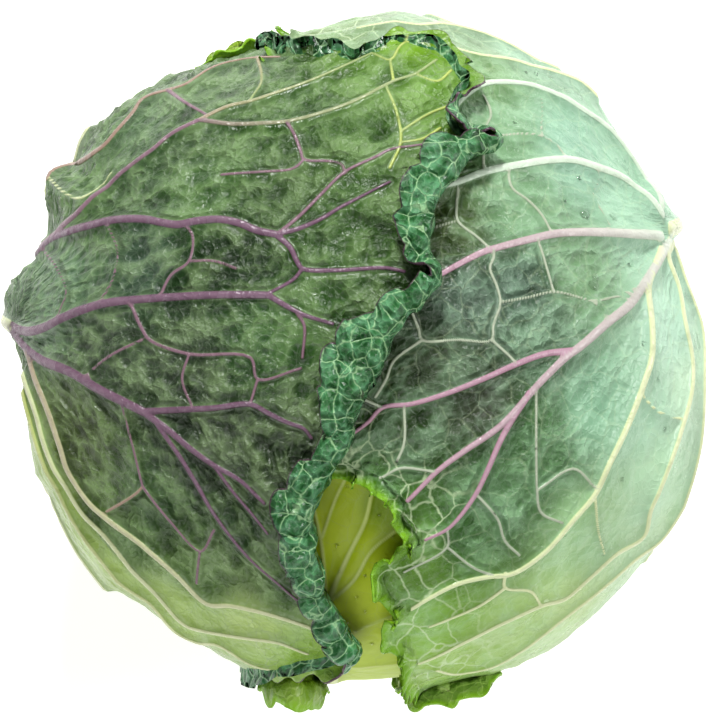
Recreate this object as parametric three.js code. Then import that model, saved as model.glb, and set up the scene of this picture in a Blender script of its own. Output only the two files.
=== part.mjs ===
// A savoy cabbage, trimmed and standing on its cut stem. Six leaves wrap the solid heart. They leave the
// stem one after another round a spiral, and each lies over the younger ones. Millimetres, +Z up, origin at
// the middle of the cut face.
import * as THREE from "three";

// Driving dimensions
const heartRadius = 90; // half the heart's width
const heartHalfHeight = 69;
const headCentreZ = 85; // height of the heart's middle above the cut
const leafThickness = 1.2;
const layerPitch = 2.5; // from the outside of one leaf to the outside of the next
const headRadius = 97.5; // half the width of the wrapped head
const stemCutRadius = 18;
const stemTopRadius = 22;
const touchGap = 0.3; // between the stem and the heart that it carries
const leafFoot = 163; // how far down from the top a leaf leaves the stem, in degrees

const stemSides = 24;
const heartSides = 32;
const up = new THREE.Vector3(0, 0, 1);
const heartReach = new THREE.Vector3(heartRadius, heartRadius, heartHalfHeight);
const heartCentre = new THREE.Vector3(0, 0, headCentreZ);

// A direction from the heart's middle: compass degrees round from +X, and degrees down from the top.
function flank(compass, down) {
  const angle = THREE.MathUtils.degToRad(down);
  const direction = new THREE.Vector3(Math.sin(angle), 0, Math.cos(angle));
  return direction.applyAxisAngle(up, THREE.MathUtils.degToRad(compass));
}

// The direction of the spot on the upper half of the head that lies over x, y.
function crown(x, y) {
  const across = new THREE.Vector3(x / headRadius, y / headRadius, 0);
  across.z = Math.sqrt(1 - across.lengthSq());
  return across;
}

// The spot on the heart in a direction, lifted off along the heart's own normal.
function onHead(direction, lift) {
  const normal = direction.clone().divide(heartReach).normalize();
  return direction.clone().multiply(heartReach).addScaledVector(normal, lift).add(heartCentre);
}

// Lays a direction out on the plane that touches the unit sphere at the middle, at its angle from there.
function flatten(middle, direction) {
  const angle = middle.angleTo(direction);
  return direction.clone().projectOnPlane(middle).setLength(angle);
}

// Bends a spot on that plane back round the sphere.
function bendRound(middle, spot) {
  const angle = spot.length();
  const sideways = spot.clone().normalize().multiplyScalar(Math.sin(angle));
  return sideways.addScaledVector(middle, Math.cos(angle));
}

function leafMaterial(colour) {
  return new THREE.MeshStandardMaterial({ color: colour, roughness: 0.45, metalness: 0 });
}

// A leaf is a thin round disc, drawn out to the leaf's outline and then bent round the head. Layers are
// counted out from the heart. A bulge lifts the leaf off its layer towards one side.
function leaf({ name, colour, layer, middle, outline, rings, sides, bulge = 0, bulgeSide = middle }) {
  const profile = [];
  for (let ring = 0; ring <= rings; ring += 1) profile.push(new THREE.Vector2(ring / rings, 0));
  for (let ring = rings; ring >= 0; ring -= 1) profile.push(new THREE.Vector2(ring / rings, leafThickness));
  const geometry = new THREE.LatheGeometry(profile, sides);
  const rim = new THREE.CatmullRomCurve3(outline.map((direction) => flatten(middle, direction)), true);
  const places = geometry.attributes.position;
  for (let i = 0; i < places.count; i += 1) {
    const [x, height, z] = [places.getX(i), places.getY(i), places.getZ(i)];
    const turn = (Math.atan2(x, z) / (2 * Math.PI) + 1) % 1;
    const direction = bendRound(middle, rim.getPointAt(turn).multiplyScalar(Math.hypot(x, z)));
    const facing = Math.max(0, direction.dot(bulgeSide));
    const lift = layer * layerPitch - leafThickness + height + bulge * facing ** 3;
    places.setXYZ(i, ...onHead(direction, lift));
  }
  geometry.computeVertexNormals();
  const mesh = new THREE.Mesh(geometry, leafMaterial(colour));
  mesh.name = name;
  return mesh;
}

// The heart is one solid: its leaves are packed tight under the wrapper leaves.
function heart() {
  const geometry = new THREE.SphereGeometry(1, heartSides, heartSides / 2);
  geometry.rotateX(Math.PI / 2).scale(heartRadius, heartRadius, heartHalfHeight);
  const mesh = new THREE.Mesh(geometry, leafMaterial(0xb4c774));
  mesh.name = "heart";
  mesh.position.copy(heartCentre);
  return mesh;
}

// The stem flares a little from the cut up to the heart.
function cutStem() {
  const top = headCentreZ - heartHalfHeight - touchGap;
  const cutBevel = 1.5;
  const profile = [
    [0, 0],
    [stemCutRadius, 0],
    [stemCutRadius + cutBevel, cutBevel],
    [stemTopRadius, top * 0.7],
    [stemTopRadius, top],
    [0, top],
  ];
  const points = profile.map(([radius, height]) => new THREE.Vector2(radius, height));
  const geometry = new THREE.LatheGeometry(points, stemSides).rotateX(Math.PI / 2);
  const material = new THREE.MeshStandardMaterial({ color: 0xe6e8c9, roughness: 0.6, metalness: 0 });
  const mesh = new THREE.Mesh(geometry, material);
  mesh.name = "cut_stem";
  return mesh;
}

// Leaves over the crown need a finer disc than the low ones under the flanks. Outlines run anticlockwise as
// seen from outside the head, from the foot of the leaf.
const large = { rings: 9, sides: 44 };
const low = { rings: 6, sides: 28 };

const leaves = [
  leaf({
    name: "heart_leaf",
    colour: 0x8aa22f,
    layer: 1,
    middle: flank(267, 68),
    outline: [
      flank(255, leafFoot), flank(277, leafFoot), flank(300, 140), flank(318, 110), crown(58, -58),
      crown(52, -10), crown(20, 20), crown(-20, 20), crown(-52, -10), crown(-58, -58), flank(216, 110),
      flank(235, 140),
    ],
    ...large,
  }),
  leaf({
    name: "right_leaf",
    colour: 0xa8d2b9,
    layer: 2,
    middle: flank(24, 68),
    bulge: 3,
    bulgeSide: flank(350, 90),
    outline: [
      flank(12, leafFoot), flank(36, leafFoot), flank(68, 145), flank(96, 122), flank(108, 100),
      crown(-24, 84), crown(-36, 52), crown(-34, 18), crown(-24, -14), crown(-6, -29), crown(12, -39),
      crown(15, -52), crown(9, -62), crown(12, -74), crown(16, -88), flank(288, 98), flank(305, 120),
      flank(340, 148),
    ],
    ...large,
  }),
  leaf({
    name: "left_leaf",
    colour: 0x4e6744,
    layer: 3,
    middle: flank(176, 72),
    outline: [
      flank(158, leafFoot), flank(184, leafFoot), flank(214, 148), flank(238, 126), flank(250, 102),
      crown(-16, -86), crown(-3, -78), crown(-10, -60), crown(-13, -42), crown(-5, -22), crown(8, 6),
      crown(20, 28), crown(22, 45), crown(34, 60), crown(29, 76), crown(16, 90), crown(-6, 86),
      crown(-26, 84), flank(120, 96), flank(130, 122), flank(140, 148),
    ],
    ...large,
  }),
  leaf({
    name: "front_right_leaf",
    colour: 0x7ea549,
    layer: 5,
    middle: flank(322, 128),
    outline: [
      flank(315, leafFoot), flank(337, leafFoot), flank(352, 148), flank(4, 130), flank(358, 116),
      flank(335, 112), flank(308, 108), flank(292, 95), flank(284, 90), flank(278, 102), flank(281, 126),
      flank(298, 150),
    ],
    ...low,
  }),
  leaf({
    name: "back_leaf",
    colour: 0x84b007,
    layer: 4,
    middle: flank(103, 126),
    outline: [
      flank(92, leafFoot), flank(113, leafFoot), flank(130, 148), flank(143, 124), flank(136, 105),
      flank(122, 92), flank(112, 88), flank(100, 97), flank(85, 104), flank(66, 111), flank(62, 128),
      flank(76, 150),
    ],
    ...low,
  }),
  leaf({
    name: "front_left_leaf",
    colour: 0x6c9311,
    layer: 4,
    middle: flank(238, 126),
    outline: [
      flank(228, leafFoot), flank(250, leafFoot), flank(262, 147), flank(271, 122), flank(270, 102),
      flank(262, 89), flank(252, 88), flank(240, 100), flank(222, 108), flank(203, 114), flank(199, 131),
      flank(212, 150),
    ],
    ...low,
  }),
];

const cabbage = new THREE.Group();
const head = new THREE.Group();
head.add(heart(), ...leaves);
cabbage.add(cutStem(), head);

export default cabbage;
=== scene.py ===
import bpy
import mathutils
import numpy as np
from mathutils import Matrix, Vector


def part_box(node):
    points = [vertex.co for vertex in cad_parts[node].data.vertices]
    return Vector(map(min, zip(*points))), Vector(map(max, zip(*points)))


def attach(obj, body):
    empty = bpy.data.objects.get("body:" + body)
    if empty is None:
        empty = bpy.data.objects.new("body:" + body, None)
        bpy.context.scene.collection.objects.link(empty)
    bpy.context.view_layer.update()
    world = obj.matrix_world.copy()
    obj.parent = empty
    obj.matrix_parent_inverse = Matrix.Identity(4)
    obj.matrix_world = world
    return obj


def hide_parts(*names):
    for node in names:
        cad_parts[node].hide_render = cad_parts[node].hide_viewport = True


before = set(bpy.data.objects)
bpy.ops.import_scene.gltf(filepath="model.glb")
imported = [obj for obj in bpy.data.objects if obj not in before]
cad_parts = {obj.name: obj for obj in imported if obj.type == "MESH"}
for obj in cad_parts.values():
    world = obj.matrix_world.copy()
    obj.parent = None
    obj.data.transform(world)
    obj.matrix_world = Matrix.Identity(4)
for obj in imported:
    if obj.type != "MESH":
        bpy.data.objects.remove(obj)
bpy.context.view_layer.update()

# A savoy cabbage on its cut stem: packed heart, six wrapper leaves, water drops.
# Shapes are worked out in millimetres and written to the meshes in metres.

bpy.ops.object.select_all(action="DESELECT")
metre = 0.001  # one millimetre
heartLow, heartHigh = (np.array(corner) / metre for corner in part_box("heart"))
stemHigh = np.array(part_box("cut_stem")[1]) / metre
headMiddle = (heartLow + heartHigh) / 2
headHalf = (heartHigh - heartLow) / 2
footDown = 163  # degrees down from the top of the head, where leaves leave the stem

lensLength = 200
filmWidth = 36
viewWidth = 201.6  # mm of the scene across the picture, level with the middle of the head
viewShift = (0.6, -0.6)
cameraDistance = viewWidth * lensLength / filmWidth

# ---- colours and nodes


def hexColour(code):  # sRGB hex to linear
    parts = np.array([int(code[i:i + 2], 16) / 255 for i in (1, 3, 5)])
    return np.where(parts <= 0.04045, parts / 12.92, ((parts + 0.055) / 1.055) ** 2.4)


def rgba(code):
    return (*hexColour(code), 1.0)


# settings that many nodes share
times = {"operation": "MULTIPLY"}
timesPlus = {"operation": "MULTIPLY_ADD"}
power = {"operation": "POWER"}
eased = {"interpolation_type": "SMOOTHSTEP"}
mixed = {"data_type": "RGBA"}
shaded = {"data_type": "RGBA", "blend_type": "MULTIPLY"}
toEdge = {"feature": "DISTANCE_TO_EDGE"}


# An input takes a value, a node's output, or a node, which stands for its first output in use.
def addNode(tree, kind, settings=None, inputs=None):
    node = tree.nodes.new("ShaderNode" + kind)
    for name, value in (settings or {}).items():
        setattr(node, name, value)
    for name, value in (inputs or {}).items():
        if isinstance(value, bpy.types.Node):
            value = next(output for output in value.outputs if output.enabled)
        if isinstance(value, bpy.types.NodeSocket):
            tree.links.new(value, node.inputs[name])
        else:
            node.inputs[name].default_value = value
    return node


# ---- noise on points in mm


def noise(points, size, seed):  # smooth, -1 to 1
    lattice = np.random.default_rng(seed).uniform(-1, 1, (32, 32, 32))
    place = points / size + 500.5
    cell = np.floor(place).astype(int)
    part = place - cell
    part = part * part * (3 - 2 * part)
    total = 0
    for corner in np.ndindex(2, 2, 2):
        weight = np.prod(np.where(np.array(corner) == 1, part, 1 - part), axis=1)
        at = (cell + corner) % 32
        total = total + weight * lattice[at[:, 0], at[:, 1], at[:, 2]]
    return total


def cellEdges(points, size, seed):  # mm to the nearest edge of a cellular net, and a number for each cell
    jitter = np.random.default_rng(seed).uniform(0, 1, (16, 16, 16, 4))
    place = points / size + 300
    home = np.floor(place).astype(int)
    nearest = np.full(len(points), 9.0)
    second = np.full(len(points), 9.0)
    kind = np.zeros(len(points))
    for step in np.ndindex(3, 3, 3):
        cell = home + np.array(step) - 1
        seedHere = jitter[cell[:, 0] % 16, cell[:, 1] % 16, cell[:, 2] % 16]
        away = np.linalg.norm(cell + seedHere[:, :3] - place, axis=1)
        closer = away < nearest
        second = np.where(closer, nearest, np.minimum(second, away))
        kind = np.where(closer, seedHere[:, 3], kind)
        nearest = np.where(closer, away, nearest)
    return (second - nearest) * size / 2, kind


def smoothStep(low, high, value):
    part = np.clip((value - low) / (high - low), 0, 1)
    return part * part * (3 - 2 * part)


# ---- places on the head


def unit(vectors):
    return vectors / np.maximum(np.linalg.norm(vectors, axis=-1, keepdims=True), 1e-9)


def heading(compass, down):  # a direction by degrees round from +X and degrees down from the top
    compass, down = np.radians(compass), np.radians(down)
    return np.stack([np.sin(down) * np.cos(compass), np.sin(down) * np.sin(compass), np.cos(down)], -1)


def liftAt(leaf, direction):  # mm from the heart out to the leaf
    down = np.degrees(np.arccos(np.clip(direction[:, 2], -1, 1)))
    compass = np.degrees(np.arctan2(direction[:, 1], direction[:, 0]))
    angles, heights = np.array(leaf["girth"]).T
    widest = np.exp(-(((down - 90) / 28) ** 2))
    lift = leaf["lift"] + np.interp(compass, angles, heights, period=360) * widest
    spot = direction * headHalf
    upper = np.clip(direction[:, 2] * 4 + 0.5, 0, 1)
    for x, y, reach, height in leaf["lumps"]:
        away = (spot[:, 0] - x) ** 2 + (spot[:, 1] - y) ** 2
        lift = lift + height * upper * np.exp(-away / (2 * reach**2))
    return lift


def onHead(direction, lift):
    normal = unit(direction / headHalf)
    return headMiddle + direction * headHalf + normal * lift[:, None]


def seenFromAbove(leaf, x, y, lowest):  # the direction in which the camera sees the leaf at x, y
    compass = np.degrees(np.arctan2(y, x))
    target = np.hypot(x, y)
    low, high = np.zeros_like(target), np.full_like(target, lowest)
    for _ in range(22):
        down = (low + high) / 2
        place = onHead(heading(compass, down), liftAt(leaf, heading(compass, down)))
        closer = cameraDistance / (cameraDistance - place[:, 2] + headMiddle[2])
        inside = np.hypot(place[:, 0], place[:, 1]) * closer < target
        low, high = np.where(inside, down, low), np.where(inside, high, down)
    return heading(compass, low)


def below(*rows):  # marks rows that give their place by compass and degrees down, for parts out of sight
    return [(*row, "under") for row in rows]


def toDirections(leaf, spots, lowest=87.0):  # a spot is (x, y) as seen, or one from below()
    spots = list(spots)
    directions = np.zeros((len(spots), 3))
    under = np.array([len(spot) == 3 for spot in spots])
    plain = np.array([spot[:2] for spot in spots], float)
    directions[under] = heading(plain[under, 0], plain[under, 1])
    directions[~under] = seenFromAbove(leaf, plain[~under, 0], plain[~under, 1], lowest)
    return directions


def flatten(middle, direction):  # lays directions out round the middle, at their true angle from it
    toward = direction @ middle
    return unit(direction - toward[:, None] * middle) * np.arccos(np.clip(toward, -1, 1))[:, None]


def bendRound(middle, spots):
    angle = np.linalg.norm(spots, axis=1, keepdims=True)
    return middle * np.cos(angle) + spots * np.sinc(angle / np.pi)


def smoothLine(rows, perSpan, closed=False):  # centripetal Catmull-Rom through the rows
    rows = np.asarray(rows, float)
    if closed:
        rows = np.vstack([rows[-1], rows, rows[:2]])
    else:
        rows = np.vstack([2 * rows[0] - rows[1], rows, 2 * rows[-1] - rows[-2]])
    spans = []
    for p0, p1, p2, p3 in zip(rows, rows[1:], rows[2:], rows[3:]):
        gaps = [max(np.linalg.norm((b - a)[:3]) ** 0.5, 1e-4) for a, b in ((p0, p1), (p1, p2), (p2, p3))]
        t0, t1, t2, t3 = np.concatenate([[0], np.cumsum(gaps)])
        t = np.linspace(t1, t2, perSpan, endpoint=False)[:, None]
        a1 = (t1 - t) / (t1 - t0) * p0 + (t - t0) / (t1 - t0) * p1
        a2 = (t2 - t) / (t2 - t1) * p1 + (t - t1) / (t2 - t1) * p2
        a3 = (t3 - t) / (t3 - t2) * p2 + (t - t2) / (t3 - t2) * p3
        b1 = (t2 - t) / (t2 - t0) * a1 + (t - t0) / (t2 - t0) * a2
        b2 = (t3 - t) / (t3 - t1) * a2 + (t - t1) / (t3 - t1) * a3
        spans.append((t2 - t) / (t2 - t1) * b1 + (t - t1) / (t2 - t1) * b2)
    if not closed:
        spans.append(rows[-2:-1])
    return np.vstack(spans)


# ---- ribs

ribColours = {
    "purple": "#64465a",
    "mauve": "#7d5f6b",
    "pink": "#a97c90",
    "tan": "#9c8270",
    "leafy": "#93a868",
    "cream": "#ccd6a0",
    "lime": "#b3c45e",
    "white": "#c0d4ba",
    "pale": "#a3ae94",
}


ribReach = 12.0  # mm, past which a rib changes nothing
steepestRib = 81.0  # degrees down, where a rib given by sight stops short of the outline
thinnestRib = 0.62  # mm


def ribField(leaf, points):  # at each point: height of the ribs, colour of the nearest, mm to its side
    count = len(points)
    ridge, colour, gap = np.zeros(count), np.zeros((count, 3)), np.full(count, ribReach)
    for tint, startWidth, endWidth, route in leaf["ribs"]:
        directions = unit(smoothLine(toDirections(leaf, route, steepestRib), 6))
        line = onHead(directions, liftAt(leaf, directions))
        inside = np.all((points > line.min(0) - ribReach) & (points < line.max(0) + ribReach), axis=1)
        near = np.nonzero(inside)[0]
        if not len(near):
            continue
        close = points[near]
        away, along = np.full(len(near), 99.0), np.zeros(len(near))
        for i, (start, step) in enumerate(zip(line[:-1], np.diff(line, axis=0))):
            part = np.clip((close - start) @ step / max(step @ step, 1e-6), 0, 1)
            distance = np.linalg.norm(close - start - part[:, None] * step, axis=1)
            better = distance < away
            away = np.where(better, distance, away)
            along = np.where(better, (i + part) / (len(line) - 1), along)
        width = np.maximum(0.74 * (startWidth + (endWidth - startWidth) * along) - 0.1, thinnestRib)
        height = leaf["ribHeight"] * width**0.8 * np.exp(-((away / (width * 0.6 + 0.3)) ** 2))
        ridge[near] = np.maximum(ridge[near], height)
        side = away - width / 2
        wins = side < gap[near]
        first, last = (hexColour(ribColours[name]) for name in (tint.split()[0], tint.split()[-1]))
        colour[near[wins]] = (first + (last - first) * np.sqrt(along)[:, None])[wins]
        gap[near] = np.minimum(gap[near], side)
    return ridge, colour, gap


# The spots' colours hold the light and shade they were seen under as well as the leaf's own colour, so the
# blade carries painted light and shade.
def paintField(leaf, points):  # blade colour, mixed from the leaf's colour spots by nearness
    directions = toDirections(leaf, [spot[:-1] for spot in leaf["paint"]])
    places = onHead(directions, liftAt(leaf, directions))
    colours = np.array([hexColour(spot[-1]) for spot in leaf["paint"]])
    away = ((points[:, None] - places[None]) ** 2).sum(2)
    weight = 1 / (away + leaf["paintBlur"] ** 2) ** 2
    blend = weight @ colours / weight.sum(1, keepdims=True)
    shineGain, shineLift, blackest = 0.86, 0.005, 0.004  # the skin's own shine lightens it again
    return np.maximum(blend * shineGain - shineLift, blackest)


# ---- a leaf


def discFromSquare(across, up):  # squares to a round disc: distance out and turn, both 0 to 1
    out = np.maximum(abs(across), abs(up))
    safeAcross = np.where(across == 0, 1e-9, across)
    safeUp = np.where(up == 0, 1e-9, up)
    sideways = np.pi / 4 * up / safeAcross + np.where(across < 0, np.pi, 0)
    upright = np.pi / 2 - np.pi / 4 * across / safeUp + np.where(up < 0, np.pi, 0)
    turn = np.where(abs(across) >= abs(up), sideways, upright)
    return out, (turn / (2 * np.pi)) % 1


def leafRim(leaf):  # the leaf's middle, and a table of rows round its rim
    middle = toDirections(leaf, [leaf["middle"]])[0]
    spots = [row[:2] + row[4:] for row in leaf["outline"]]
    margin = np.array([row[2:4] for row in leaf["outline"]], float)
    flat = flatten(middle, toDirections(leaf, spots, leaf.get("lowestSeen", 79.0)))
    rows = smoothLine(np.hstack([flat, margin]), 30, closed=True)
    # seen from the middle, the rim never turns back
    aside = unit(np.cross([0, 0, 1], middle))
    above = np.cross(middle, aside)
    turned = np.unwrap(np.arctan2(rows[:, :3] @ above, rows[:, :3] @ aside))
    leastTurn = 0.0006  # radians from one row to the next
    least = leastTurn * np.arange(len(rows))
    turned = np.maximum.accumulate(turned - least) + least
    away = np.linalg.norm(rows[:, :3], axis=1)[:, None]
    rows[:, :3] = away * (np.cos(turned)[:, None] * aside + np.sin(turned)[:, None] * above)
    directions = bendRound(middle, rows[:, :3])
    places = onHead(directions, liftAt(leaf, directions))
    normals = unit(directions / headHalf)
    outward = unit(np.cross(np.roll(places, -1, 0) - np.roll(places, 1, 0), normals))
    steps = np.linalg.norm(np.roll(places, -1, 0) - places, axis=1)
    # more of the disc's sides go to the part of the rim that shows
    weights = steps * (1 - 0.65 * smoothStep(0.05, -0.3, directions[:, 2]))
    share = np.concatenate([[0], np.cumsum(weights)[:-1]]) / weights.sum()
    # how much of each ray from the middle shows
    parts = np.linspace(0.02, 1, 60)
    showing = np.mean([bendRound(middle, rows[:, :3] * part)[:, 2] > -0.12 for part in parts], 0)
    reach = len(showing) // 24
    window = np.hanning(2 * reach + 1) / np.hanning(2 * reach + 1).sum()
    showing = np.convolve(np.concatenate([showing[-reach:], showing, showing[:reach]]), window, "valid")
    # ripples close on themselves after one round
    ruffle = leaf["ruffle"]
    rounds = 2 * np.pi * round(steps.sum() / ruffle["length"])
    phase = rounds * np.cumsum(steps) / steps.sum() + 2.5 * noise(places, 23, 5)
    fine = noise(places, ruffle["length"] / 2, 6)
    lobes = 2 * abs(np.sin(phase / 2)) ** 0.5 - 1
    table = np.column_stack([rows, np.sin(phase), lobes, fine, showing, outward])
    return middle, share, table


# Where the leaf is, where it would be unrolled, how far into the hem, and how much the hem is rolled.
def shapeLeaf(leaf, rim, out, turn):
    middle, share, table = rim
    columns = [np.interp(turn, share, column, period=1) for column in table.T]
    flatRim, outward = np.stack(columns[:3], 1), unit(np.stack(columns[9:], 1))
    reach, curl, ripple, lobes, fine, showing = columns[3:9]
    # rings lie closer together where the leaf shows
    bladeEnd = leaf["bladeShare"]
    ringShare = showing / (showing + (1 - showing) * 0.25)
    inner = np.clip(out / bladeEnd, 0, 1)
    hiddenPart = (inner - ringShare) / np.maximum(1 - ringShare, 1e-3)
    spread = np.where(inner < ringShare, showing * inner / np.maximum(ringShare, 1e-3),
                      showing + (1 - showing) * hiddenPart)
    direction = bendRound(middle, flatRim * spread[:, None])
    blade = onHead(direction, liftAt(leaf, direction))
    # the margin goes on past the blade: flared, or rolled over on itself
    normal = unit(bendRound(middle, flatRim) / headHalf)
    rollRadius, ruffle = leaf["rollRadius"], leaf["ruffle"]
    hem = np.clip((out - bladeEnd) / (1 - bladeEnd), 0, 1)
    rolled = np.clip(curl / 180, 0, 1)
    gone = hem * (reach + rolled * 2.14 * rollRadius) * (1 + ruffle["scallop"] * (0.4 * fine + 0.6 * lobes))
    most = np.radians(curl + ruffle["swing"] * (0.7 * ripple + 0.4 * fine) * hem * (1 - 0.3 * rolled))
    bend = np.sign(most) * np.minimum(gone / rollRadius, abs(most))
    straight = np.maximum(gone - rollRadius * abs(most), 0)
    tucked = rollRadius * rolled * np.clip(hem * 20, 0, 1)
    offset = rollRadius * np.sin(abs(bend)) + straight * np.cos(most) - tucked
    height = np.sign(most) * rollRadius * (1 - np.cos(bend)) + straight * np.sin(most)
    height = height + ruffle["wave"] * (ripple + 0.5 * fine) * hem**1.5 * (0.5 + 0.5 * rolled)
    height = height - offset**2 / (2 * headHalf[0])
    places = blade + outward * offset[:, None] + normal * height[:, None] * (hem > 0)[:, None]
    places = np.where((hem > 0)[:, None], places, blade)
    flat = blade + outward * gone[:, None] - normal * (gone**2 / (2 * headHalf[0]))[:, None]
    return places, flat, hem, rolled


def sheetNormals(leaf, rim, out, turn):
    near = np.clip(out, 0.01, 1)
    here = shapeLeaf(leaf, rim, near, turn)[0]
    inward = shapeLeaf(leaf, rim, near - 0.004, turn)[0]
    onward = shapeLeaf(leaf, rim, near, (turn + 0.0005) % 1)[0]
    return unit(np.cross(here - inward, onward - here))


def cornerPlaces(mesh):
    corners = np.zeros(len(mesh.vertices) * 3)
    mesh.vertices.foreach_get("co", corners)
    return corners.reshape(-1, 3)


coarseBelow = 25  # mm under the middle of the head, where faces stay large
unseen = 99  # stands for a face's distance to a rib where the face stays large


def splitNearRibs(leaf, rim, piece, limit):  # halves the outer faces that lie within the limit of a rib
    mesh = piece.data
    corners = cornerPlaces(mesh)
    out, turn = discFromSquare(corners[:, 0], corners[:, 1])
    flat, hem = shapeLeaf(leaf, rim, out, turn)[1:3]
    gap = ribField(leaf, flat)[2]
    outside = corners[:, 2] > -0.01
    gap = np.where((flat[:, 2] > headMiddle[2] - coarseBelow) & outside, gap, unseen)
    spots = np.zeros(len(mesh.loops), int)
    mesh.loops.foreach_get("vertex_index", spots)
    starts = np.zeros(len(mesh.polygons), int)
    mesh.polygons.foreach_get("loop_start", starts)
    chosen = np.minimum.reduceat(gap[spots], starts) < limit
    chosen &= np.maximum.reduceat(gap[spots], starts) < unseen
    bpy.ops.object.mode_set(mode="EDIT")
    bpy.ops.mesh.select_mode(type="FACE")
    bpy.ops.mesh.select_all(action="DESELECT")
    bpy.ops.object.mode_set(mode="OBJECT")
    mesh.polygons.foreach_set("select", chosen)
    bpy.ops.object.mode_set(mode="EDIT")
    bpy.ops.mesh.subdivide(number_cuts=1, ngon=False)
    bpy.ops.object.mode_set(mode="OBJECT")


def writeAttributes(mesh, colours, numbers, directions):
    for name, values in colours.items():
        layer = mesh.attributes.new(name, "FLOAT_COLOR", "POINT")
        layer.data.foreach_set("color", np.hstack([values, np.ones((len(values), 1))]).ravel())
    for name, values in numbers.items():
        layer = mesh.attributes.new(name, "FLOAT", "POINT")
        layer.data.foreach_set("value", np.ascontiguousarray(values, dtype=float))
    for name, values in directions.items():
        layer = mesh.attributes.new(name, "FLOAT_VECTOR", "POINT")
        layer.data.foreach_set("vector", values.ravel())


def grainFrom(leaf, flat):  # crumples run out from the knuckle, where the ribs part
    knuckleDirection = toDirections(leaf, [leaf["knuckle"]])
    away = flat - onHead(knuckleDirection, liftAt(leaf, knuckleDirection))[0]
    return unit(away) * 60, np.linalg.norm(away, axis=1) / leaf["relief"]["stretch"]


def makeLeaf(leaf):
    cells = leaf["cells"] // 1
    bpy.ops.mesh.primitive_grid_add(x_subdivisions=cells, y_subdivisions=cells, size=2)
    piece = bpy.context.active_object
    piece.name = leaf["name"]
    mesh = piece.data
    mesh.name = leaf["name"]
    for material in leaf["materials"]:
        mesh.materials.append(material)
    thick = piece.modifiers.new("thickness", "SOLIDIFY")
    thick.thickness, thick.offset = 0.05, -1
    thick.material_offset, thick.material_offset_rim = 1, 0
    bpy.ops.object.modifier_apply(modifier=thick.name)
    rim = leafRim(leaf)
    for limit in leaf["finer"]:
        splitNearRibs(leaf, rim, piece, limit)

    corners = cornerPlaces(mesh)
    out, turn = discFromSquare(corners[:, 0], corners[:, 1])
    inner = corners[:, 2] < -0.01
    places, flat, hem, rolled = shapeLeaf(leaf, rim, out, turn)
    normals = sheetNormals(leaf, rim, out, turn)
    headNormals = unit((flat - headMiddle) / headHalf**2)
    stray = (hem <= 0) & ((normals * headNormals).sum(1) < 0.4)
    normals[stray] = headNormals[stray]
    ridge, ribColour, ribGap = ribField(leaf, flat)
    relief = leaf["relief"]
    warped = flat + 1.6 * np.stack([noise(flat, 7, 20 + i) for i in range(3)], 1)
    edge, kind = cellEdges(warped, relief["cell"], 1)
    grain, grainRun = grainFrom(leaf, flat)
    room = smoothStep(0.3, 3.5, ribGap)
    drawn = grain + np.stack([grainRun] * 3, 1) + 1.2 * (warped - flat)
    size = relief["wrinkle"]
    folds = [1.1 * np.exp(-3 * abs(noise(spots, scale * size, seed))) - 0.5 for spots, scale, seed in
             ((drawn, 1, 3), (drawn, 0.55, 17), (warped, 0.8, 4), (warped, 0.42, 18))]
    blade = paintField(leaf, flat) * (1 + 0.12 * noise(flat, 12, 11)[:, None])
    crisp = 1 - 0.75 * smoothStep(0.16, 0.5, blade[:, 1])  # pale parts of a leaf are smoother
    busy = (0.4 + 0.6 * smoothStep(-0.5, 0.3, noise(flat, 22, 8))) * crisp
    wrinkle = (0.5 * folds[0] + 0.3 * folds[1] + 0.2 * folds[2] + 0.2 * folds[3]) * room * busy
    pocket = smoothStep(0, 2.4, edge) * (0.7 + 0.3 * kind)
    onHem = smoothStep(0, 0.3, hem)
    wrinkle = wrinkle * (1 - 0.75 * onHem)
    puffs = noise(warped, 5, 14) + 0.5 * noise(warped, 2.6, 15)
    puff = relief["puff"] * puffs * onHem * (0.4 + 0.6 * rolled)
    fromRib = 1 - np.exp(-np.maximum(ribGap, 0) / 4)
    sunk = (relief["broad"] * noise(flat, 30, 9) - relief["quilt"] * fromRib
            - relief["pocket"] * pocket * room + puff)
    outerShift = sunk + ridge + relief["height"] * wrinkle
    innerShift = sunk - (0.7 * relief["height"] + 0.5) * (1 - onHem) - leaf["thickness"]
    places = places + normals * np.where(inner, innerShift, outerShift)[:, None]

    mesh.vertices.foreach_set("co", (places * metre).ravel())
    writeAttributes(mesh, {"blade": np.clip(blade, 0, 1), "rib": ribColour},
                    {"ribGap": ribGap, "depth": wrinkle, "hem": hem, "grainRun": grainRun, "margin": out,
                     "crisp": crisp},
                    {"grain": grain})
    mesh.update()
    bpy.ops.object.shade_smooth()
    finishPiece(piece, leaf["node"])
    print(leaf["name"], "made", len(mesh.polygons), "faces")
    return piece


def finishPiece(piece, node):
    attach(piece, "root")
    if node:
        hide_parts(node)
    bpy.ops.object.select_all(action="DESELECT")


# ---- leaf materials


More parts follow.
